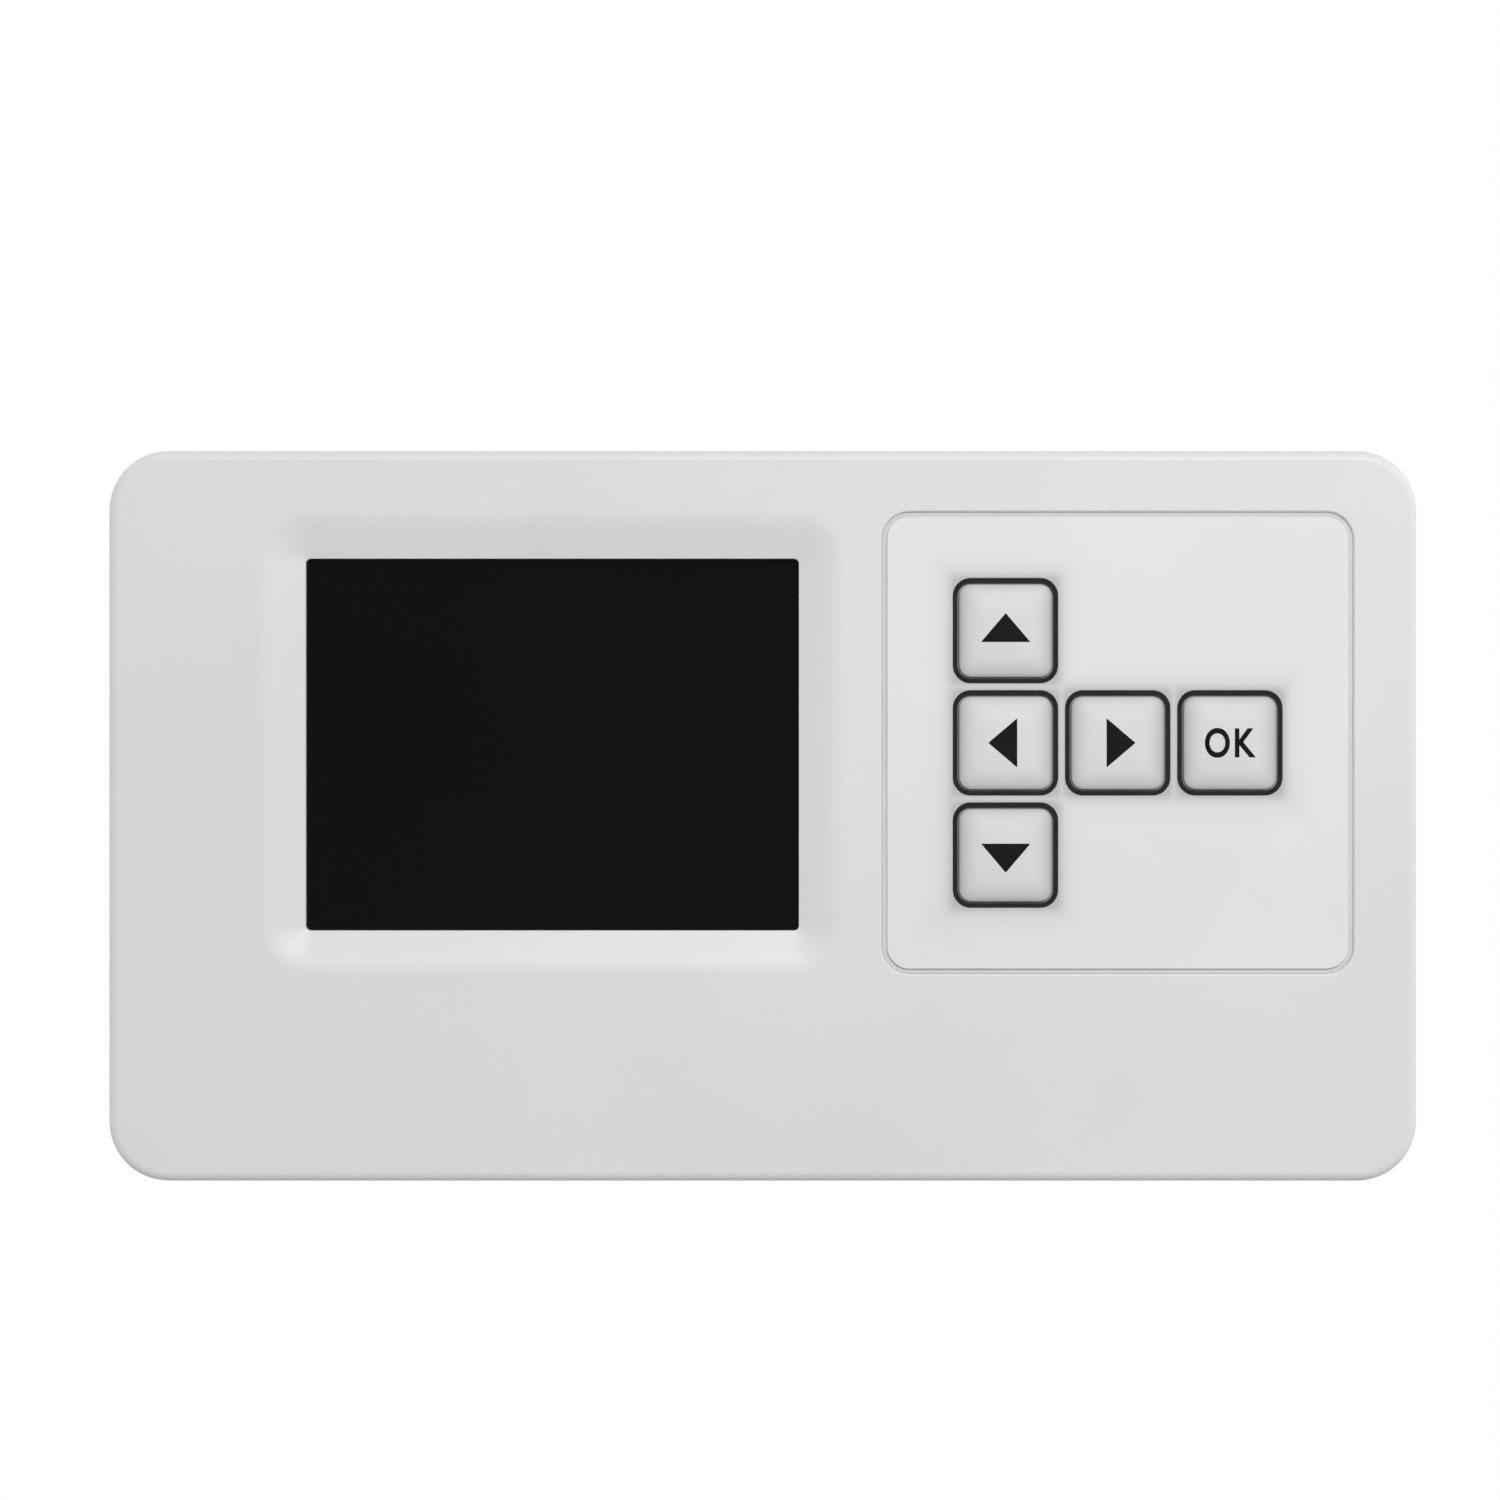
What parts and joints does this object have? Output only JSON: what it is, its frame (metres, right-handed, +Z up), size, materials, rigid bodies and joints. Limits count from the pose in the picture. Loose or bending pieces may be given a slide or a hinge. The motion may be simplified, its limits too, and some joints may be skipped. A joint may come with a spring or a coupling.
{
  "type": "wall thermostat",
  "caption": "Flat wall thermostat with a black display in a sloped surround and a panel of outlined press keys, hung on a hooked steel wall plate.",
  "frame": {"origin": "on the wall plane, at the centre of the wall plate's screw slots, which is the housing's centre", "axes": "+X right as one faces the front, +Y into the wall, +Z up"},
  "size_m": [0.154, 0.0275, 0.086],
  "materials": {
    "housing_white": "fine satin moulded",
    "overlay_white": "satin printed film",
    "key_white": "satin film with a dark printed outline and symbol",
    "lens_black": "polished",
    "plate_zinc": "galvanised",
    "screw_zinc": "zinc plated",
    "board_green": "solder resist",
    "foam_black": "foam",
    "display_glass": "polished",
    "backlight_white": "satin",
    "frame_grey": "satin",
    "ribbon_amber": "film",
    "part_black": "moulded",
    "terminal_green": "moulded",
    "clamp_brass": "nickel-washed brass",
    "relay_blue": "moulded",
    "cell_steel": "bright",
    "can_aluminium": "bright",
    "choke_ferrite": "ferrite",
    "sensor_resin": "dipped resin"
  },
  "bodies": {
    "wall_bracket": {"wall_plate": "plate_zinc"},
    "housing": {"rear_cover": "housing_white", "front_cover": "housing_white", "case_screws": "screw_zinc", "board_screws": "screw_zinc", "main_board": "board_green", "display_lens": "lens_black", "display_gasket": "foam_black", "display_glass": "display_glass", "backlight": "backlight_white", "display_frame": "frame_grey", "display_ribbon": "ribbon_amber", "ribbon_connector": "part_black", "keypad_spacer": "overlay_white", "keypad_overlay": "overlay_white", "switch_bases": "part_black", "switch_covers": "screw_zinc", "terminal_block": "terminal_green", "terminal_clamps": "clamp_brass", "terminal_screws": "screw_zinc", "relay": "relay_blue", "buzzer": "part_black", "controller_chip": "part_black", "cell_holder": "part_black", "clock_cell": "cell_steel", "supply_capacitor": "can_aluminium", "supply_choke": "choke_ferrite", "room_sensor": "sensor_resin"},
    "key_up": {"key_up": "key_white", "plunger_up": "frame_grey"},
    "key_left": {"key_left": "key_white", "plunger_left": "frame_grey"},
    "key_right": {"key_right": "key_white", "plunger_right": "frame_grey"},
    "key_down": {"key_down": "key_white", "plunger_down": "frame_grey"},
    "key_set": {"key_set": "key_white", "plunger_set": "frame_grey"}
  },
  "joints": [
    {"name": "housing_lift", "type": "slide", "parent": "wall_bracket", "child": "housing", "axis": [0, 0, 1], "range_m": [0, 0.0045]},
    {"name": "key_up_press", "type": "slide", "parent": "housing", "child": "key_up", "axis": [0, 1, 0], "range_m": [0, 0.0004], "stiffness_N_per_m": 3000},
    {"name": "key_left_press", "type": "slide", "parent": "housing", "child": "key_left", "axis": [0, 1, 0], "range_m": [0, 0.0004], "stiffness_N_per_m": 3000},
    {"name": "key_right_press", "type": "slide", "parent": "housing", "child": "key_right", "axis": [0, 1, 0], "range_m": [0, 0.0004], "stiffness_N_per_m": 3000},
    {"name": "key_down_press", "type": "slide", "parent": "housing", "child": "key_down", "axis": [0, 1, 0], "range_m": [0, 0.0004], "stiffness_N_per_m": 3000},
    {"name": "key_set_press", "type": "slide", "parent": "housing", "child": "key_set", "axis": [0, 1, 0], "range_m": [0, 0.0004], "stiffness_N_per_m": 3000}
  ]
}
